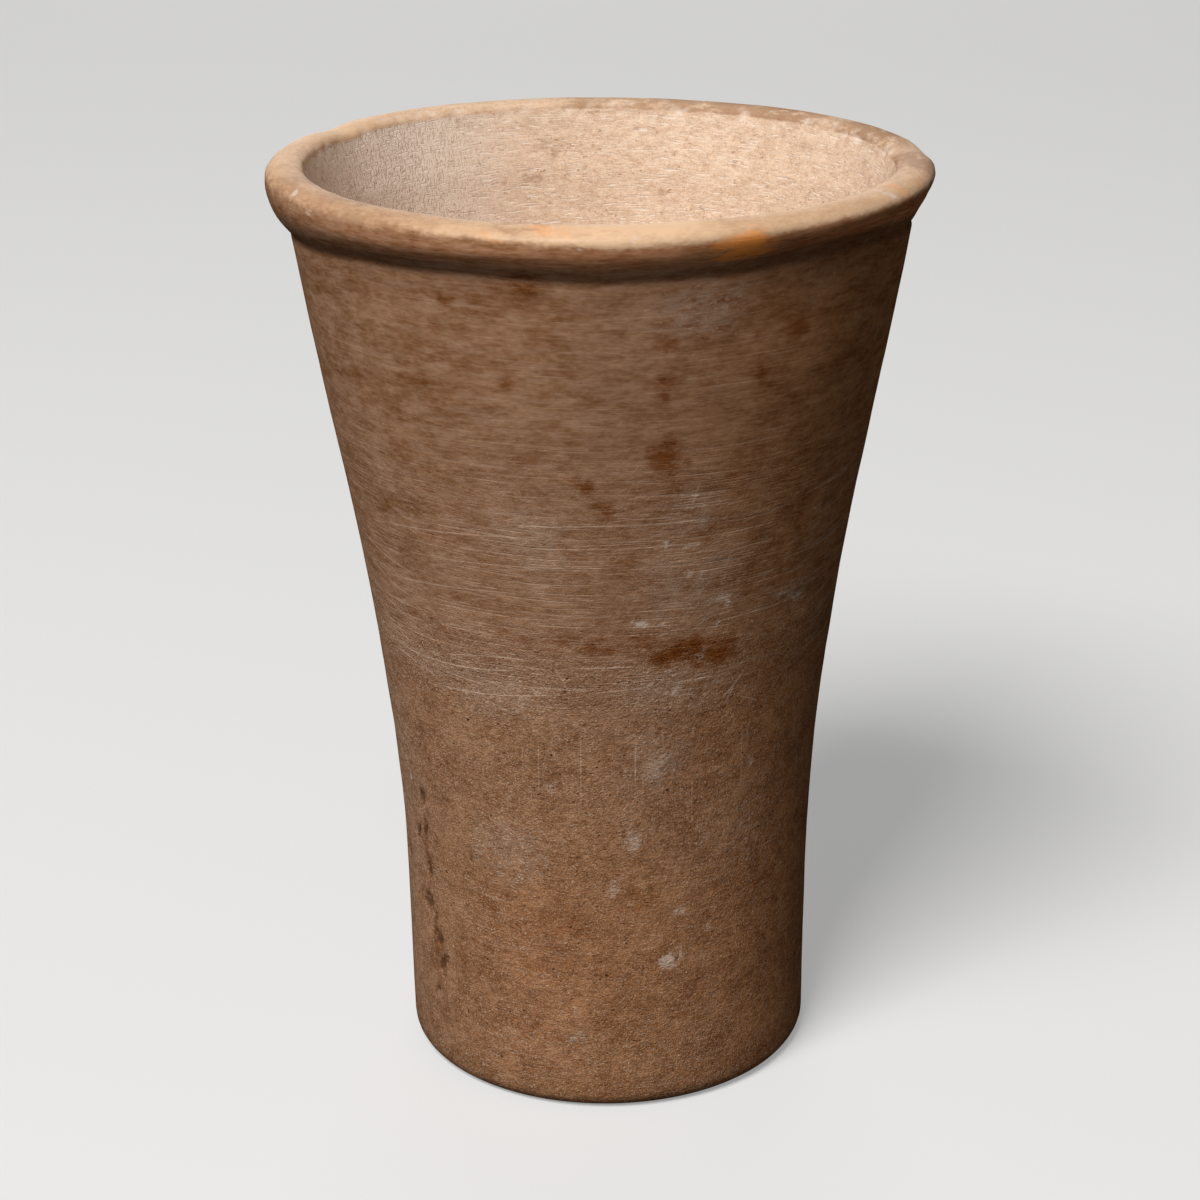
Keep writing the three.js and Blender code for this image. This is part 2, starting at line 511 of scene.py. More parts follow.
SMUDGES = (
    (-168.7, 122.8, 2.6, 3.2, 0.8),
    (-164.1, 119.4, 2.6, 2.2, 0.9),
    (165.8, 116.8, 1.6, 1.8, 1.0),
    (148.9, 122.4, 1.4, 1.4, 0.9),
    (171.7, 125.8, 1.4, 1.2, 0.8),
    (-149, 127.6, 3.0, 1.4, 0.7),
    (-157.8, 118.9, 2.4, 1.6, 0.7),
    (180, 116.0, 4.0, 1.4, 0.6),
    (-167.2, 127.6, 3.0, 1.2, 0.7),
    (140.8, 118.9, 2.0, 1.6, 0.6),
    (-148.3, 115.1, 2.0, 1.4, 0.7),
    (130, 126.0, 2.2, 1.2, 0.6),
)


def keep(name, values):
    """Stores one number at each vertex, under a name that the shader can read."""
    layer = mesh.attributes.new(name, "FLOAT", "POINT")
    layer.data.foreach_set("value", values.astype(np.float32))
    print("painted:", name, int((values > 0).sum()), "vertices")


def paint(name, marks, side=outside):
    """Stores the strongest of these marks at each vertex."""
    painted = np.zeros(len(turn))
    for at_turn, at_height, wide, tall, strength in marks:
        painted = np.maximum(painted, strength * oval(at_turn, at_height, wide, tall, side))
    keep(name, painted)


paint("stain", STAINS)
paint("lime", LIMES)
paint("haze_and_light", HAZES_AND_LIGHT)
paint("honey", HONEYS)
paint("rim_brown", RIM_BROWNS)
paint("rim_lime", RIM_LIMES)
paint("smudge", SMUDGES, inside)
keep("pit", pitted)

# %% [markdown]
# The kinds of finish change from place to place. The cone was rubbed round and round, so it has level
# scratches, most of them from the middle of the vase to a little above. The shaft was rubbed with
# loose grit, which leaves it dotted and shows only a few level scratches, near the foot. The foot is
# warmer. The shaded right side is tinted warm as well, which is painted bounce light. The shaded lip
# face is lifted with painted light on the right, and the shaded left wall inside is lifted too. The
# groove and the bottom of the heel get painted shade. Vertex groups could be painted with a brush,
# but each finish is a zone of heights or a stretch of turns, and a table of those is exact.

# %% Paint the zones of finish
# heights past the foot and past the rim, for zones that don't end on the vase
BELOW = (-2, -1)
ABOVE = (140, 141)
# share, then the heights where it starts, is full, fades and ends
ZONES = {
    "level": (
        (0.25, *BELOW, *ABOVE),
        (0.6, 61, 64, 88, 104),
        (-0.15, *BELOW, 56, 61),
        (0.3, *BELOW, 24, 40),
    ),
    "grit": ((0.08, *BELOW, *ABOVE), (0.27, *BELOW, 88, 108), (0.65, *BELOW, 66, 78)),
    "felt": ((1, *BELOW, 58, 72),),
    "upright": ((1, 38, 46, 58, 63),),
    "warm_foot": ((0.6, *BELOW, 25, 55),),
    # painted shade: the bottom of the heel and the crease of the groove under the lip made darker
    "heel_shade": ((0.8, *BELOW, 1, 7),),
    "groove_shade": ((1, 120.2, 121.7, 122.7, 124.2),),
    "lip_face": ((1, 123.2, 124.8, 127, 129),),
}
# turn of the middle, then the degrees from it where the stretch fades and ends
SIDES = {
    "warm_foot": (60, 80, 120),
    # painted bounce light: a warm tint on the shaded right side
    "warm_bounce_side": (80, 30, 80),
    # a stretch at the front where the groove gets less painted shade
    "lighter_groove_front": (0, 8, 45),
    "inside_left": (-100, 30, 70),
    "polish": (-20, 95, 130),
    "wear_dip": (14, 5, 30),
    "wear_rise": (-36, 5, 25),
    "wear_blur": (-66, 15, 40),
}
FRONT_GROOVE_LIGHTENING = 0.7
LIP_FACE_COOLING = 0.8

zone = {
    name: sum(share * band(height, *edges) for share, *edges in rows)
    for name, rows in ZONES.items()
}
side = {name: near(*edges) for name, edges in SIDES.items()}
# the foot's own warmth, and painted warm bounce light on the shaded right side
warmth_and_bounce = np.maximum(zone["warm_foot"] * side["warm_foot"], side["warm_bounce_side"])
warmth_and_bounce *= 1 - LIP_FACE_COOLING * zone["lip_face"]
# painted shade in the groove, lighter at the front
groove_shade = zone["groove_shade"] * (1 - FRONT_GROOVE_LIGHTENING * side["lighter_groove_front"])
keep("grit", zone["grit"])
for name in ("level", "felt", "upright"):
    keep(name, zone[name] * outside)
keep("warmth_and_bounce", warmth_and_bounce * outside)
# painted shade of the groove and the heel, stored for the shader
keep("painted_shade", np.maximum(groove_shade, zone["heel_shade"]) * outside)
# painted light that lifts the shaded lip face, from none on the left to full on the right
keep("lip_face", zone["lip_face"] * (1 + sideways) / 2 * outside)
# the left inside wall, where upright scratches run and painted light lifts the shade
keep("inside_left", side["inside_left"] * inside)

# %% [markdown]
# On the lip the brown skin is worn away by hands, from the top down to a line. The line is lowest a
# little right of the front and blurred on the left. What the wear has bared is palest at the front
# and at the back on the left, and it shines at the front.

# %% Paint the wear of the lip
WEAR_LINE = 128.4
WEAR_SOFT = 0.9
WEAR_BLUR = 0.8
WEAR_DIP = 0.5
WEAR_RISE = 0.35
LIP_TURNS = (-160, -120, -80, -65, -45, -30, -18, -5, 6, 13, 21, 32, 60, 90, 125, 145, 165)
LIP_PALENESS = (
    0.9, 0.9, 0.6, 0.42, 0.42, 0.58, 0.72, 0.9, 1, 1, 0.65, 0.7, 0.72, 0.5, 0.45, 0.4, 0.45,
)

wear_line = WEAR_LINE - WEAR_DIP * side["wear_dip"] + WEAR_RISE * side["wear_rise"]
wear_soft = WEAR_SOFT + WEAR_BLUR * side["wear_blur"]
cream = np.maximum(inside, ease(height, wear_line - wear_soft, wear_line + wear_soft))
keep("cream", cream)
keep("paleness", np.interp(turn, LIP_TURNS, LIP_PALENESS, period=360))
keep("polish", side["polish"] * outside)
keep("chip", chipped)

# %% [markdown]
# The stone's material is a tree of shader nodes. Adding nodes one by one takes many lines, so a
# small bench does it: it adds a node, links the inputs that are sockets and sets those that are
# numbers. Effects that are used again and again become node groups with named sockets.

# %% Bench for nodes


class Bench:
    """A node tree with short ways to add nodes."""

    def __init__(self, tree):
        self.tree = tree

    def add(self, kind, inputs, **settings):
        """A new node, with its inputs linked or set."""
        node = self.tree.nodes.new(kind)
        for name, value in settings.items():
            setattr(node, name, value)
        for name, value in inputs.items():
            if isinstance(value, bpy.types.NodeSocket):
                self.tree.links.new(value, node.inputs[name])
            else:
                node.inputs[name].default_value = value
        return node

    def sum(self, operation, *values):
        """The result of one Math node."""
        return self.add("ShaderNodeMath", dict(enumerate(values)), operation=operation).outputs[0]

    def ease(self, value, low, high):
        """A smooth step from 0 at low to 1 at high."""
        steps = {"Value": value, "From Min": low, "From Max": high}
        return self.add("ShaderNodeMapRange", steps, interpolation_type="SMOOTHSTEP").outputs[0]

    def lay(self, share, below, above, how="MIX"):
        """One colour laid over another through a mask."""
        sockets = {0: share, 6: below, 7: above}
        return self.add("ShaderNodeMix", sockets, data_type="RGBA", blend_type=how).outputs[2]

    def use(self, group, inputs):
        """The outputs of a node group that is placed here."""
        return self.add("ShaderNodeGroup", inputs, node_tree=group).outputs

    def painted(self, name):
        """One of the numbers that the vertices carry."""
        return self.add("ShaderNodeAttribute", {}, attribute_name=name).outputs["Fac"]


def new_group(name, inputs, outputs):
    """An empty node group, with its bench and its incoming sockets."""
    tree = bpy.data.node_groups.new(name, "ShaderNodeTree")
    for socket, kind in inputs.items():
        tree.interface.new_socket(name=socket, in_out="INPUT", socket_type="NodeSocket" + kind)
    for socket, kind in outputs.items():
        tree.interface.new_socket(name=socket, in_out="OUTPUT", socket_type="NodeSocket" + kind)
    bench = Bench(tree)
    entry = bench.add("NodeGroupInput", {}).outputs
    return tree, bench, entry


# %% [markdown]
# Patterns that run round the vase need their own coordinates. An unrolled turn and height would show
# a seam at the back, so the pattern is laid on a plain cylinder instead: each place keeps its
# direction from the axis, moves to one fixed radius, and takes the path along the section as its
# height. There is no seam on a cylinder. The flat floor and foot keep their own place, and a slow
# sway gives a second ring with wavering rows, because no hand rubs quite level.

# %% Node group for addresses
PATTERN_RADIUS = 36.0
FLAT_RADIUS = BORE_TOP[0]
SWAY_SIZE = 38.0
SWAY = 2.5
SWAY_DETAIL = 1.0
NOISE_MIDDLE = 0.5

AROUND, bench, entry = new_group(
    "around the vase", {"Place": "Vector", "Path": "Float"},
    {"Ring": "Vector", "Swayed": "Vector", "Turn": "Float", "Height": "Float"},
)
to_mm = {0: entry["Place"], "Scale": 1 / MM}
place_in_mm = bench.add("ShaderNodeVectorMath", to_mm, operation="SCALE").outputs[0]
axes = bench.add("ShaderNodeSeparateXYZ", {0: place_in_mm}).outputs
flat = bench.add("ShaderNodeCombineXYZ", {"X": axes["X"], "Y": axes["Y"]}).outputs[0]
reach = bench.add("ShaderNodeVectorMath", {0: flat}, operation="LENGTH").outputs["Value"]
widen = bench.sum("DIVIDE", PATTERN_RADIUS, bench.sum("MAXIMUM", reach, FLAT_RADIUS))
sides = {axis: bench.sum("MULTIPLY", axes[axis], widen) for axis in "XY"}
ring = bench.add("ShaderNodeCombineXYZ", {**sides, "Z": entry["Path"]}).outputs[0]
slow = {"Vector": ring, "Scale": 1 / SWAY_SIZE, "Detail": SWAY_DETAIL}
slow_noise = bench.add("ShaderNodeTexNoise", slow).outputs["Fac"]
sway = bench.sum("SUBTRACT", slow_noise, NOISE_MIDDLE)
swayed = bench.add("ShaderNodeCombineXYZ", {
    **sides, "Z": bench.sum("MULTIPLY_ADD", sway, SWAY, entry["Path"]),
}).outputs[0]
from_front = bench.sum("ARCTAN2", axes["X"], bench.sum("MULTIPLY", axes["Y"], -1.0))
bench.add("NodeGroupOutput", {
    "Ring": ring, "Swayed": swayed, "Turn": bench.sum("DEGREES", from_front), "Height": axes["Z"],
})
print("node group:", AROUND.name)

# %% [markdown]
# Grain is noise that is stretched by its own size across and up, in millimetres. Long and low makes
# level streaks, short and high makes upright flecks, and the same size both ways makes mottling. All
# its octaves are equally strong, as in real stone, where a speck is as dark as a cloud.

# %% Node group for grain
SEED_STEP = 31.7
EQUAL_OCTAVES = 1.0
STRETCH_SOCKETS = {"Ring": "Vector", "Across": "Float", "Up": "Float", "Seed": "Float"}
CUT_SOCKETS = {"Low": "Float", "High": "Float"}


def stretched(bench, entry):
    """The ring, stretched by the group's sizes and moved on by its seed."""
    axes = bench.add("ShaderNodeSeparateXYZ", {0: entry["Ring"]}).outputs
    start = bench.sum("MULTIPLY", entry["Seed"], SEED_STEP)
    return bench.add("ShaderNodeCombineXYZ", {
        "X": bench.sum("DIVIDE", axes["X"], entry["Across"]),
        "Y": bench.sum("DIVIDE", axes["Y"], entry["Across"]),
        "Z": bench.sum("ADD", bench.sum("DIVIDE", axes["Z"], entry["Up"]), start),
    }).outputs[0]


GRAIN, bench, entry = new_group(
    "grain", {**STRETCH_SOCKETS, "Detail": "Float", **CUT_SOCKETS}, {"Mask": "Float"},
)
rough = bench.add("ShaderNodeTexNoise", {
    "Vector": stretched(bench, entry), "Scale": 1.0,
    "Detail": entry["Detail"], "Roughness": EQUAL_OCTAVES,
}).outputs["Fac"]
bench.add("NodeGroupOutput", {"Mask": bench.ease(rough, entry["Low"], entry["High"])})
print("node group:", GRAIN.name)

# %% [markdown]
# A painted mark has the smooth edge of an oval. Real stains end in frayed, grainy edges, so this
# group scales the painted value by noise before it cuts it off. Weakly painted marks stay faint.

# %% Node group for painted marks
FRAY_DETAIL = 4.0
FRAY_ROUGHNESS = 0.8
FRAY_NOISE = (0.3, 0.7)
FRAY_GAIN = 1.6
FRAY_LEAST = 0.2

MARK, bench, entry = new_group(
    "frayed mark", {**STRETCH_SOCKETS, "Painted": "Float", **CUT_SOCKETS}, {"Mask": "Float"},
)
fray_noise = bench.add("ShaderNodeTexNoise", {
    "Vector": stretched(bench, entry), "Scale": 1.0,
    "Detail": FRAY_DETAIL, "Roughness": FRAY_ROUGHNESS,
}).outputs["Fac"]
fray = bench.sum("MULTIPLY_ADD", bench.ease(fray_noise, *FRAY_NOISE), FRAY_GAIN, FRAY_LEAST)
cut = bench.ease(bench.sum("MULTIPLY", entry["Painted"], fray), entry["Low"], entry["High"])
faint = bench.sum("SQRT", entry["Painted"])
bench.add("NodeGroupOutput", {"Mask": bench.sum("MULTIPLY", cut, faint)})
print("node group:", MARK.name)

# %% [markdown]
# A few single strokes stand out, where one hard grain was dragged. A stroke is a thin line at an
# angle that may bow. It is worked out from the address, so it stays sharp at any distance.

# %% Node group for strokes
STROKE_SOCKETS = ("Turn", "Height", "At Turn", "At Height", "Angle", "Bow", "Length", "Width")
MIDDLE_RADIUS = 33.0
MM_PER_DEGREE = math.radians(1) * MIDDLE_RADIUS
# shares of the half width and half length where a stroke is gone and where it is full
STROKE_SIDES = (0.9, 0.1)
STROKE_ENDS = (1.0, 0.5)

STROKE, bench, entry = new_group("stroke", dict.fromkeys(STROKE_SOCKETS, "Float"), {"Mask": "Float"})
across = bench.sum("MULTIPLY", bench.sum("SUBTRACT", entry["Turn"], entry["At Turn"]), MM_PER_DEGREE)
up = bench.sum("SUBTRACT", entry["Height"], entry["At Height"])
angle = bench.sum("RADIANS", entry["Angle"])
cosine, sine = bench.sum("COSINE", angle), bench.sum("SINE", angle)
along = bench.sum("MULTIPLY_ADD", across, cosine, bench.sum("MULTIPLY", up, sine))
aside = bench.sum("SUBTRACT", bench.sum("MULTIPLY", up, cosine), bench.sum("MULTIPLY", across, sine))
bow = bench.sum("MULTIPLY", bench.sum("MULTIPLY", along, along), entry["Bow"])
from_line = bench.sum("ABSOLUTE", bench.sum("SUBTRACT", aside, bow))
from_middle = bench.sum("ABSOLUTE", along)
thin = bench.ease(bench.sum("DIVIDE", from_line, entry["Width"]), *STROKE_SIDES)
short = bench.ease(bench.sum("DIVIDE", from_middle, entry["Length"]), *STROKE_ENDS)
bench.add("NodeGroupOutput", {"Mask": bench.sum("MULTIPLY", thin, short)})
print("node group:", STROKE.name)

# %% [markdown]
# Now the stone itself. Its body is mottled brown at every size from a thumb to a grain of sand, in
# level streaks on the cone and in even specks on the shaft, which is also warmer. A thin grey film of
# dust lies over it in patches. Some of its colours are painted light and shade: a warm tint on the
# shaded right side, a lift of the shaded lip face, grey patches that lift the left edge and the shade
# under the lip on the right, and a darker groove and heel. The rest are the colours of dry stone in
# even light, all in linear values.

# %% Stone, body colour
DEEP_BROWN = (0.18, 0.066, 0.02, 1)
TAN = (0.46, 0.26, 0.152, 1)
SHAFT_TAN = (0.49, 0.262, 0.142, 1)
PINK = (0.52, 0.33, 0.23, 1)
RED_BROWN = (0.24, 0.09, 0.03, 1)
# a warm tint for the foot that also serves as painted warm bounce light on the shaded right side
WARMTH_AND_BOUNCE = (1.04, 0.86, 0.62, 1)
# painted light that lifts and warms the shaded lip face
LIP_FACE_LIGHT = (1.55, 1.2, 0.9, 1)
# the grey of the dust film, also used as painted light on the left edge and under the lip
GREY_FILM_AND_LIGHT = (0.48, 0.345, 0.255, 1)
# dark brown for dust in holes and lost grains, and for the painted shade of the groove and heel
DARK_DUST_AND_SHADE = (0.1, 0.04, 0.014, 1)
PINK_SHARE = 0.3
RED_SHARE = 0.4
FILM_AND_LIGHT_SHARE = 0.35
PAINTED_SHADE_SHARE = 0.5
# grain: across and up in millimetres, seed, noise where the mask is 0 and where it is 1, detail
STREAKS = (12.0, 4.4, 1, 0.22, 0.78, 4)
MOTTLES = (8.0, 6.0, 2, 0.25, 0.7, 5)
PINK_STREAKS = (4.5, 1.1, 20, 0.45, 0.75, 1)
RED_PATCHES = (6.0, 4.0, 25, 0.48, 0.72, 3)
# frayed mark: grain size in millimetres, frayed value where the mask is 0 and where it is 1
FILM_AND_LIGHT_FRAY = (1.5, 0.25, 1.1)
FRAY_FLATNESS = 1.5

stone = bpy.data.materials.new("ground stone")
stone.use_nodes = True
bench = Bench(stone.node_tree)
surface = stone.node_tree.nodes["Principled BSDF"]
here = bench.add("ShaderNodeTexCoord", {}).outputs["Object"]
address = bench.use(AROUND, {"Place": here, "Path": bench.painted("path")})
ring = address["Ring"]
swayed = address["Swayed"]


def grain(across, up, seed, low, high, detail, on=ring):
    """A mask of grain, on the plain ring or on the swayed one."""
    return bench.use(GRAIN, {
        "Ring": on, "Across": across, "Up": up, "Seed": seed,
        "Detail": detail, "Low": low, "High": high,
    })["Mask"]


def frayed(name, size, low, high):
    """A mask of painted marks, frayed by grains that are wider than high."""
    return bench.use(MARK, {
        "Ring": ring, "Across": size * FRAY_FLATNESS, "Up": size / FRAY_FLATNESS,
        "Painted": bench.painted(name), "Low": low, "High": high,
    })["Mask"]


def both(first, second):
    """A mask where both are, or one at a share of its strength."""
    return bench.sum("MULTIPLY", first, second)


def mixed(share, first, second):
    """The first value where the share is 0, the second where it is 1."""
    return bench.sum("MULTIPLY_ADD", share, bench.sum("SUBTRACT", second, first), first)


def count_nodes(step):
    """Prints how far the stone's tree has grown."""
    print("stone:", len(stone.node_tree.nodes), "nodes after", step)


felt = bench.painted("felt")
mottling = mixed(felt, grain(*STREAKS, on=swayed), grain(*MOTTLES))
body = bench.lay(mottling, DEEP_BROWN, bench.lay(felt, TAN, SHAFT_TAN))
pink_streaks = both(grain(*PINK_STREAKS), bench.sum("SUBTRACT", 1.0, felt))
body = bench.lay(both(pink_streaks, PINK_SHARE), body, PINK)
body = bench.lay(both(grain(*RED_PATCHES), RED_SHARE), body, RED_BROWN)
# the foot's warmth, and painted warm bounce light on the shaded right side
body = bench.lay(bench.painted("warmth_and_bounce"), body, WARMTH_AND_BOUNCE, "MULTIPLY")
# painted light on the lip face, strongest on the shaded right
body = bench.lay(bench.painted("lip_face"), body, LIP_FACE_LIGHT, "MULTIPLY")
# grey film of dust in patches, and painted light on the left edge and in the shade under the lip
body = bench.lay(both(frayed("haze_and_light", *FILM_AND_LIGHT_FRAY), FILM_AND_LIGHT_SHARE), body, GREY_FILM_AND_LIGHT)
# painted shade: the groove under the lip and the bottom of the heel made darker
body = bench.lay(both(bench.painted("painted_shade"), PAINTED_SHADE_SHARE), body, DARK_DUST_AND_SHADE)
count_nodes("the body colour")

# %% [markdown]
# Scratches in calcite are paler than the skin, because they show crushed stone. A scratch is grain
# that is stretched until only a thin line is left. There are short and long level ones, which cross
# at flat angles because only one kind sways, and faint upright ones on the shaft.

# %% Stone, sanding marks
CRUSHED = (0.68, 0.475, 0.345, 1)
GAPS = (1.4, 1.4, 9, 0.25, 0.65, 2)
SHORT_LEVEL = (3.0, 0.26, 5, 0.58, 0.78, 0)
LONG_LEVEL = (13.0, 0.24, 6, 0.64, 0.8, 0)
UPRIGHT = (0.28, 4.0, 8, 0.64, 0.82, 0)
LEFT_IN_GAPS = 0.4
SHORT_SHARE = 0.5
UPRIGHT_SHARE = 0.6
SCRATCH_SHARE = 0.55

broken = grain(*GAPS)
part_broken = bench.sum("MULTIPLY_ADD", broken, 1 - LEFT_IN_GAPS, LEFT_IN_GAPS)
short_level = both(grain(*SHORT_LEVEL), SHORT_SHARE)
long_level = both(grain(*LONG_LEVEL, on=swayed), part_broken)
level_scratches = both(bench.sum("MAXIMUM", short_level, long_level), bench.painted("level"))
upright_scratches = both(both(grain(*UPRIGHT), bench.painted("upright")), broken)
scratches = bench.sum("MAXIMUM", level_scratches, both(upright_scratches, UPRIGHT_SHARE))
body = bench.lay(both(scratches, SCRATCH_SHARE), body, CRUSHED)
count_nodes("the sanding marks")

# %% [markdown]
# Loose grit leaves the shaft dotted: pale where it has bruised a crystal, dark where one has fallen
# out and dust has filled the hole. Both come in clumps, and where one is dense the other is sparse.
# The cone has fewer of both. Larger pale flecks lie everywhere, closer together where the grey patches
# of film and of painted light lie.

# %% Stone, specks of the grit
CLUMPS = (2.4, 1.8, 23, 0.3, 0.7, 2)
BRUISES = (0.3, 0.26, 16, 0.5, 0.76, 1)
HOLES = (0.28, 0.25, 17, 0.5, 0.76, 1)
LOST_GRAINS = (1.1, 0.7, 26, 0.7, 0.8, 1)
CLUMPING = 0.7
BRUISE_LEAST = 0.35
HOLE_MOST = 0.9
FLECK_SIZE = (0.9, 0.6)
FLECK_SEED = 19
FLECK_DETAIL = 2
FLECK_LOW = 0.66
FLECK_SPAN = 0.12
FLECK_GAIN = 0.13
FLECK_LEAST = 0.25
FLECKS_IN_GRIT = 0.4

gritty = bench.painted("grit")
clumps = grain(*CLUMPS)
bruises = grain(*BRUISES)
holes = grain(*HOLES)
bruised = both(both(bruises, gritty), bench.sum("MULTIPLY_ADD", clumps, CLUMPING, BRUISE_LEAST))
holed = both(both(holes, gritty), bench.sum("MULTIPLY_ADD", clumps, -CLUMPING, HOLE_MOST))
lost_grains = both(grain(*LOST_GRAINS), gritty)
fleck_low = bench.sum("MULTIPLY_ADD", bench.painted("haze_and_light"), -FLECK_GAIN, FLECK_LOW)
fleck_high = bench.sum("ADD", fleck_low, FLECK_SPAN)
flecks = grain(*FLECK_SIZE, FLECK_SEED, fleck_low, fleck_high, FLECK_DETAIL)
fleck_share = bench.sum("MULTIPLY_ADD", gritty, FLECKS_IN_GRIT, FLECK_LEAST)
body = bench.lay(bruised, body, CRUSHED)
body = bench.lay(bench.sum("MAXIMUM", holed, lost_grains), body, DARK_DUST_AND_SHADE)
body = bench.lay(both(flecks, fleck_share), body, CRUSHED)
count_nodes("the specks")

# %% [markdown]
# Stains come next: rust-brown where iron has soaked in, through the scratches too. A stain takes
# light away, most of all blue, so it multiplies the colour below it. The painted ones are where the
# real vase has them, and sparse small ones are scattered by noise all round, also on the back. The
# pits of the vein are filled with dark dust.

# %% Stone, stains
RUST = (0.55, 0.32, 0.12, 1)
PIT_DUST = (0.075, 0.028, 0.01, 1)
STAIN_FRAY = (2.6, 0.04, 0.95)
PIT_FRAY = (0.8, 0.1, 0.7)
SCATTERED_STAINS = (7.0, 3.0, 4, 0.56, 0.7, 4)
SCATTER_SHARE = 0.3
PIT_SHARE = 0.8

body = bench.lay(frayed("stain", *STAIN_FRAY), body, RUST, "MULTIPLY")
body = bench.lay(both(grain(*SCATTERED_STAINS), SCATTER_SHARE), body, RUST, "MULTIPLY")
body = bench.lay(both(frayed("pit", *PIT_FRAY), PIT_SHARE), body, PIT_DUST)
count_nodes("the stains")

# %% [markdown]
# The single strokes are placed one by one, each from one address to another: long level ones round the
# middle, a close pair on the right, and thin upright ones on the shaft. Noise could scatter strokes,
# but these are the ones that the eye finds first on the real vase.

# %% Stone, single strokes
# turn and height of one end, turn and height of the other, rise of the middle, half width, strength
STROKES = (
    (-71.2, 67.1, -16.9, 68.3, -1.1, 0.17, 1.0),
    (-47.8, 62.7, -7.4, 65.1, -0.3, 0.17, 1.0),
    (-65.8, 65.1, -43.9, 63.8, 0.8, 0.17, 0.9),
    (-43.4, 65.3, -28.6, 64.8, 0.1, 0.15, 0.8),
    (-55.6, 69.8, -41.6, 69.7, 0.0, 0.15, 0.8),
    (-61.5, 71.5, -45.0, 72.0, 0.2, 0.15, 0.7),
    (-41.8, 67.8, -16.8, 69.4, 0.7, 0.14, 0.8),
    (-10.5, 68.8, 11.4, 69.0, 0.1, 0.17, 0.85),
    (-3.8, 65.2, 11.5, 65.9, 0.0, 0.15, 0.85),
    (11.5, 66.0, 32.0, 66.0, 0.2, 0.15, 0.75),
    (21.7, 74.2, 51.3, 74.4, 0.3, 0.15, 0.8),
    (32.6, 62.4, 39.9, 60.6, 0.0, 0.15, 0.7),
    (28.8, 62.5, 34.6, 66.0, -0.2, 0.19, 1.0),
    (29.3, 61.0, 32.6, 64.7, 0.0, 0.18, 0.95),
    (19.2, 95.5, 17.5, 91.4, 0.0, 0.2, 0.65),
    (-12.4, 69.2, -8.9, 65.6, 0.0, 0.15, 0.7),
    (-73.1, 54.1, -66.6, 50.8, 0.0, 0.22, 0.8),
    (-41.2, 31.7, -24.7, 31.3, 0.0, 0.18, 0.5),
    (44.2, 61.4, 50.8, 64.7, 0.0, 0.15, 0.55),
    (64.8, 111.3, 63.7, 108.1, 0.0, 0.3, 0.6),
    (41.8, 37.0, 52.5, 36.9, 0.0, 0.15, 0.5),
    (-6.4, 59.5, -7.0, 46.5, 0.0, 0.15, 0.55),
    (6.9, 58.7, 6.9, 50.3, 0.0, 0.18, 0.6),
    (-16.9, 58.4, -17.8, 48.3, 0.0, 0.15, 0.45),
    (21.7, 52.3, 22.4, 43.0, 0.0, 0.15, 0.45),
    (35.5, 58.2, 37.4, 45.6, 0.0, 0.15, 0.55),
    (-24.0, 89.2, 28.0, 89.6, 0.4, 0.17, 0.75),
    (-58.0, 85.2, -12.0, 88.0, 0.3, 0.17, 0.7),
    (-20.0, 86.2, 24.0, 86.4, 0.2, 0.15, 0.6),
    (-46.0, 82.4, 6.0, 83.8, 0.3, 0.15, 0.65),
    (-62.0, 76.8, -18.0, 79.6, 0.3, 0.15, 0.65),
    (-74.0, 75.4, -52.0, 71.6, -0.5, 0.16, 0.85),
    (-72.0, 78.6, -48.0, 75.0, -0.4, 0.15, 0.75),
    (-73.0, 82.0, -46.0, 79.0, -0.4, 0.15, 0.7),
    (-70.0, 71.8, -52.0, 67.6, -0.4, 0.16, 0.9),
    (-66.0, 67.6, -54.0, 64.8, -0.2, 0.15, 0.8),
)

strokes = 0.0
for turn_a, height_a, turn_b, height_b, rise, width, strength in STROKES:
    run = (turn_b - turn_a) * MM_PER_DEGREE
    climb = height_b - height_a
    half_length = math.hypot(run, climb) / 2
    stroke = bench.use(STROKE, {
        "Turn": address["Turn"], "Height": address["Height"],
        "At Turn": (turn_a + turn_b) / 2, "At Height": (height_a + height_b) / 2 + rise,
        "Angle": math.degrees(math.atan2(climb, run)), "Bow": -rise / half_length ** 2,
        "Length": half_length, "Width": width,
    })["Mask"]
    strokes = bench.sum("MAXIMUM", strokes, both(stroke, strength))
body = bench.lay(both(strokes, part_broken), body, CRUSHED)
count_nodes("the strokes")

# %% [markdown]
# Specks of lime have settled on top of everything on the outside. The large ones are painted, and
# noise scatters small ones over the dotted stone.

# %% Stone, lime
LIME = (0.74, 0.58, 0.46, 1)
LIME_FRAY = (0.6, 0.25, 0.95)
LIME_SPECKS = (0.8, 0.7, 10, 0.66, 0.76, 2)
LIME_SHARE = 0.85
LIME_SPECK_SHARE = 0.5

body = bench.lay(both(frayed("lime", *LIME_FRAY), LIME_SHARE), body, LIME)
body = bench.lay(both(both(grain(*LIME_SPECKS), LIME_SPECK_SHARE), gritty), body, LIME)
count_nodes("the lime")

# %% [markdown]
# Inside, the stone has no brown skin. It is a pale cream with the fine level scratches of the drill,
# upright ones on the left, bruises, brown specks and a few smudges. Before them, painted light lifts
# the shaded wall on the left. Each is a thin layer, so a table says how strongly each one is laid on,
# from the lowest to the topmost.

# %% Stone, inside
CREAM_SHADE = (0.57, 0.365, 0.235, 1)
CREAM = (0.94, 0.72, 0.535, 1)
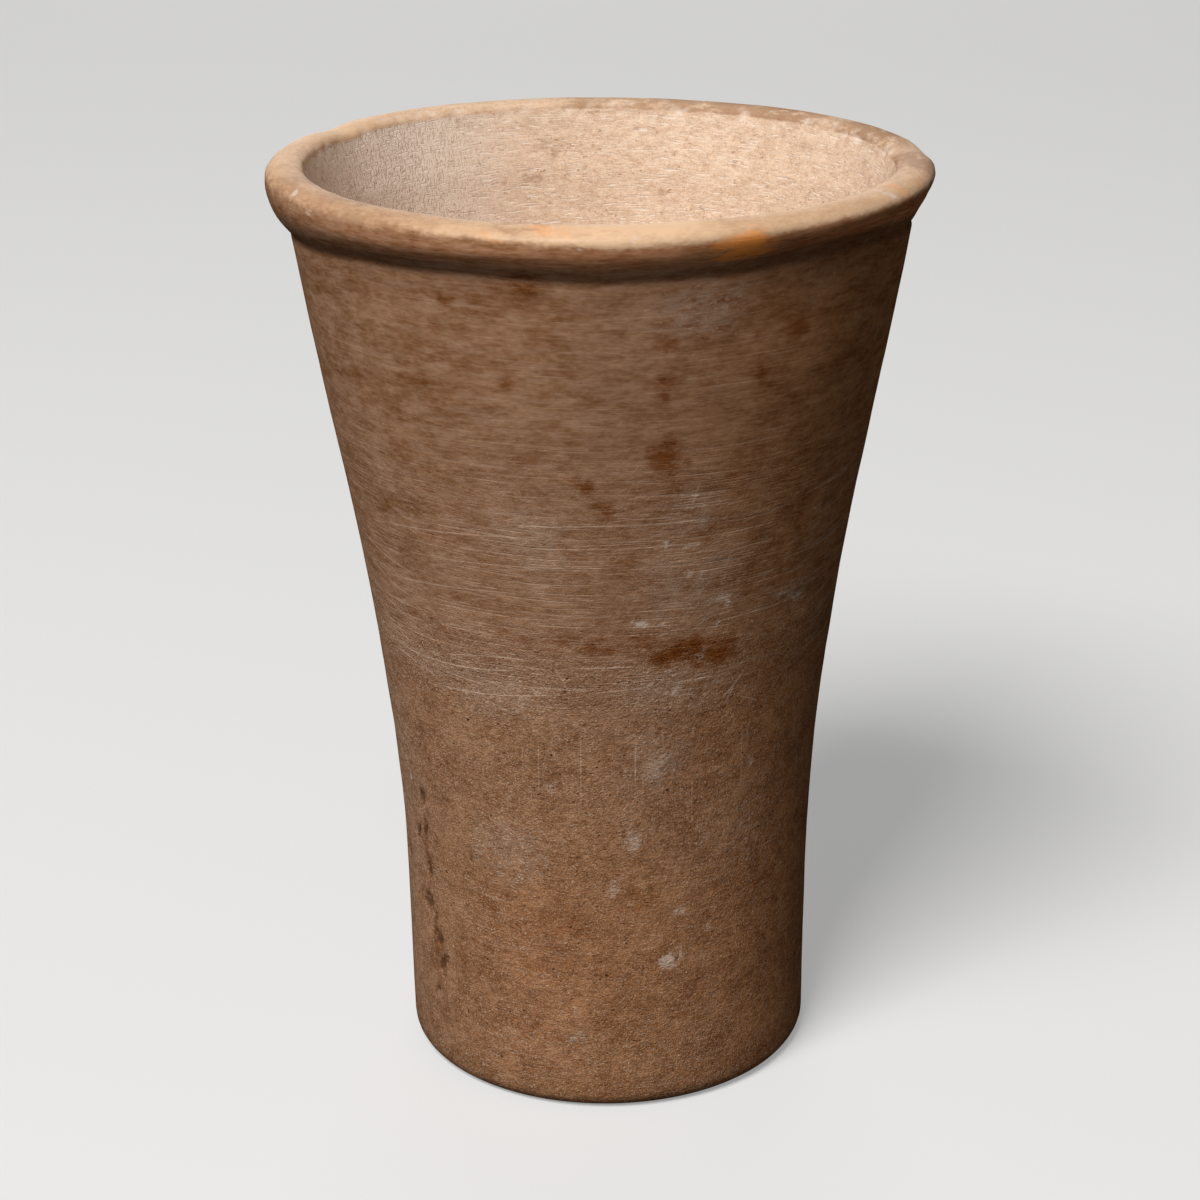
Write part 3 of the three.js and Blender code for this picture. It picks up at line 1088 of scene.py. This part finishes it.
# the pale of scratches and chips, also the painted light on the shaded left inside wall
CREAM_SCRATCH_AND_LIGHT = (0.93, 0.79, 0.66, 1)
SPECK = (0.3, 0.15, 0.08, 1)
CREAM_CLOUDS = (2.6, 1.2, 13, 0.25, 0.75, 4)
DRILLED = (2.4, 0.28, 11, 0.54, 0.72, 1)
DRAWN_UP = (0.3, 1.1, 12, 0.5, 0.64, 1)
BROWN_SPECKS = (2.2, 1.1, 14, 0.6, 0.68, 3)
SMUDGE_FRAY = (1.0, 0.35, 1.1)

inner = bench.painted("inside")
left_share = bench.painted("inside_left")
drilled = grain(*DRILLED, on=swayed)
drawn_up = both(grain(*DRAWN_UP), left_share)
drill_marks = both(bench.sum("MAXIMUM", drilled, drawn_up), inner)
# mask, strength, colour
INNER_LAYERS = (
    # painted light: the shaded left inside wall lifted to the pale scratch colour
    (left_share, 1.0, CREAM_SCRATCH_AND_LIGHT),
    (drilled, 0.75, CREAM_SCRATCH_AND_LIGHT),
    (drawn_up, 0.5, CREAM_SHADE),
    (bruises, 0.4, CREAM_SCRATCH_AND_LIGHT),
    (holes, 0.35, SPECK),
    (grain(*BROWN_SPECKS), 0.6, SPECK),
    (frayed("smudge", *SMUDGE_FRAY), 0.6, SPECK),
)
pale = bench.lay(grain(*CREAM_CLOUDS, on=swayed), CREAM_SHADE, CREAM)
for mask, strength, colour in INNER_LAYERS:
    pale = bench.lay(both(mask, strength), pale, colour)
count_nodes("the inside")

# %% [markdown]
# On the lip the brown skin is worn off and the stone below is polished by hands, so it is smoother
# and warmer than inside, cloudy, and brown again in places on top. The wear ends in a cloudy line.
# Where the stone is thin and sound, light goes in and comes out honey-coloured. True scattering
# would be slow to render for so small a patch, so the honey is painted.

# %% Stone, lip
LIP_TAN = (0.3, 0.14, 0.065, 1)
LIP_CREAM = (0.78, 0.51, 0.31, 1)
RIM_BROWN = (0.34, 0.185, 0.1, 1)
HONEY = (0.95, 0.32, 0.06, 1)
LIP_CLOUDS = (4.0, 2.6, 15, 0.2, 0.8, 3)
CLOUDED_TONE = 0.4
CLOUDED_WEAR = 0.5
COVER_LEAST = 0.4
COVER_POLISHED = 0.55
WEAR_EDGE = (0.1, 0.9)
BROWN_FRAY = (2.4, 0.15, 0.8)
HONEY_FRAY = (5.0, 0.1, 0.95)
RIM_LIME_FRAY = (0.8, 0.25, 0.8)
RIM_SHARE = 0.8
CHIP_SHARE = 0.6
HONEY_SHARE = 0.85

clouds = bench.sum("SUBTRACT", grain(*LIP_CLOUDS), NOISE_MIDDLE)
lip_paleness = bench.sum("MULTIPLY_ADD", clouds, CLOUDED_TONE, bench.painted("paleness"))
lip_cover = bench.sum("MULTIPLY_ADD", bench.painted("polish"), COVER_POLISHED, COVER_LEAST)
lip_cover = both(bench.sum("SUBTRACT", 1.0, inner), lip_cover)
pale = bench.lay(lip_cover, pale, bench.lay(lip_paleness, LIP_TAN, LIP_CREAM))
pale = bench.lay(both(frayed("rim_brown", *BROWN_FRAY), RIM_SHARE), pale, RIM_BROWN)
pale = bench.lay(both(bench.painted("chip"), CHIP_SHARE), pale, CREAM_SCRATCH_AND_LIGHT)
wear = bench.sum("MULTIPLY_ADD", clouds, CLOUDED_WEAR, bench.painted("cream"))
creamy = bench.sum("MAXIMUM", bench.ease(wear, *WEAR_EDGE), inner)
skin = bench.lay(creamy, body, pale)
skin = bench.lay(both(frayed("honey", *HONEY_FRAY), HONEY_SHARE), skin, HONEY)
skin = bench.lay(both(frayed("rim_lime", *RIM_LIME_FRAY), RIM_SHARE), skin, LIME)
count_nodes("the lip")

# %% [markdown]
# The surface is dull where it is scratched and has a soft shine where it is polished. The grit has
# left it rough by hundredths of a millimetre, which is far below the size of a face. That is what a
# bump is for: it tilts the shading and leaves the mesh.

# %% Stone, surface
BUMP_DEPTH = 0.045 * MM
STONE_DULLNESS = 0.85
STONE_GLOSS = 0.0
POLISH_GLOSS = 0.3
POLISH_DULLNESS = 0.4
ROUGH_SKIN = (1.2, 0.9, 24, 0.25, 0.75, 3)
# heights and depths in bump depths
ROUGH_HEIGHT = 2.6
LOST_GRAIN_DEPTH = 2.0

shine = both(both(creamy, bench.painted("polish")), POLISH_GLOSS)
rough_skin = both(grain(*ROUGH_SKIN), gritty)
raised = bench.sum("MULTIPLY_ADD", rough_skin, ROUGH_HEIGHT, bruised)
sunk = bench.sum("MULTIPLY_ADD", lost_grains, LOST_GRAIN_DEPTH, holed)
cuts = bench.sum("ADD", sunk, bench.sum("ADD", level_scratches, drill_marks))
relief = bench.sum("SUBTRACT", raised, cuts)
bump = bench.add("ShaderNodeBump", {"Strength": 1.0, "Distance": BUMP_DEPTH, "Height": relief})
for socket, source in (("Base Color", skin), ("Coat Weight", shine), ("Normal", bump.outputs[0])):
    stone.node_tree.links.new(source, surface.inputs[socket])
surface.inputs["Roughness"].default_value = STONE_DULLNESS
surface.inputs["Specular IOR Level"].default_value = STONE_GLOSS
surface.inputs["Coat Roughness"].default_value = POLISH_DULLNESS
mesh.materials.append(stone)

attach(vase, "root")
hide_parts("vessel")
count_nodes("the surface")

# %% [markdown]
# The vase stands on a wide floor. A plain pale floor would throw light up on the shaded side of the
# stone. This one looks pale to the camera and in reflections, and gives back little light to the
# stone, as a dark cloth would: the light path tells the two apart.

# %% Studio floor
FLOOR_SIDE = 8.0
FLOOR_PAINT = (0.52, 0.515, 0.505, 1)
FLOOR_GLOW = 0.3
FLOOR_DARK = (0.12, 0.12, 0.12, 1)
WHITE = (1, 1, 1, 1)

floor_shape = bmesh.new()
bmesh.ops.create_grid(floor_shape, x_segments=1, y_segments=1, size=FLOOR_SIDE / 2)
floor_mesh = bpy.data.meshes.new("floor")
floor_shape.to_mesh(floor_mesh)
floor_shape.free()
floor = bpy.data.objects.new("floor", floor_mesh)
bpy.context.scene.collection.objects.link(floor)


def seen_rays(bench):
    """1 for rays that show the scene to the camera, directly or in a reflection, 0 for others."""
    path = bench.add("ShaderNodeLightPath", {}).outputs
    shown = bench.sum("MAXIMUM", path["Is Camera Ray"], path["Is Glossy Ray"])
    return bench.sum("MAXIMUM", shown, path["Is Transmission Ray"])


paint_material = bpy.data.materials.new("floor paint")
paint_material.use_nodes = True
paint_material.node_tree.nodes.clear()
bench = Bench(paint_material.node_tree)
matt = bench.add("ShaderNodeBsdfDiffuse", {"Color": FLOOR_PAINT}).outputs[0]
glow = bench.add("ShaderNodeEmission", {"Color": WHITE, "Strength": FLOOR_GLOW}).outputs[0]
seen = bench.add("ShaderNodeAddShader", {0: matt, 1: glow}).outputs[0]
unseen = bench.add("ShaderNodeBsdfDiffuse", {"Color": FLOOR_DARK}).outputs[0]
chosen = bench.add("ShaderNodeMixShader", {0: seen_rays(bench), 1: unseen, 2: seen}).outputs[0]
bench.add("ShaderNodeOutputMaterial", {"Surface": chosen})
floor_mesh.materials.append(paint_material)
print("floor:", FLOOR_SIDE, "m square")

# %% [markdown]
# One soft lamp stands high on the left and shows the shape, as on a photographer's table. A weak one
# low behind the vase opens the shade on its back, and a dim pale room fills the rest. Each lamp is
# given by its turn and rise round the vase, so it can be moved and still points at it.

# %% Studio light
LAMP_DISTANCE = 2.0
LAMP_AIM = Vector((0, 0, 70)) * MM
# turn and rise in degrees, side in metres, power in watts
LAMPS = {"key": (-29.5, 51.5, 0.9, 47.0), "fill": (180.0, 14.0, 1.2, 9.0)}
ROOM_LIGHT = 0.06
ROOM_TONE = 0.4

for name, (lamp_turn, lamp_rise, lamp_side, power) in LAMPS.items():
    light = bpy.data.lights.new(name, "AREA")
    light.energy = power
    light.size = lamp_side
    lamp = bpy.data.objects.new(name, light)
    toward_lamp = Vector((0, -1, 0))
    toward_lamp.rotate(Euler((math.radians(-lamp_rise), 0, math.radians(lamp_turn))))
    lamp.location = LAMP_AIM + toward_lamp * LAMP_DISTANCE
    lamp.rotation_euler = toward_lamp.to_track_quat("Z", "Y").to_euler()
    bpy.context.scene.collection.objects.link(lamp)
    print("lamp:", name, power, "W at", [round(part, 2) for part in lamp.location], "m")

room = bpy.data.worlds.new("room")
bpy.context.scene.world = room
room.use_nodes = True
bench = Bench(room.node_tree)
room_strength = bench.sum("MULTIPLY_ADD", seen_rays(bench), ROOM_TONE - ROOM_LIGHT, ROOM_LIGHT)
backdrop = room.node_tree.nodes["Background"]
backdrop.inputs["Color"].default_value = WHITE
room.node_tree.links.new(room_strength, backdrop.inputs["Strength"])
bpy.context.scene.view_settings.view_transform = "Standard"
print("room:", ROOM_LIGHT, "on the stone,", ROOM_TONE, "to the camera")
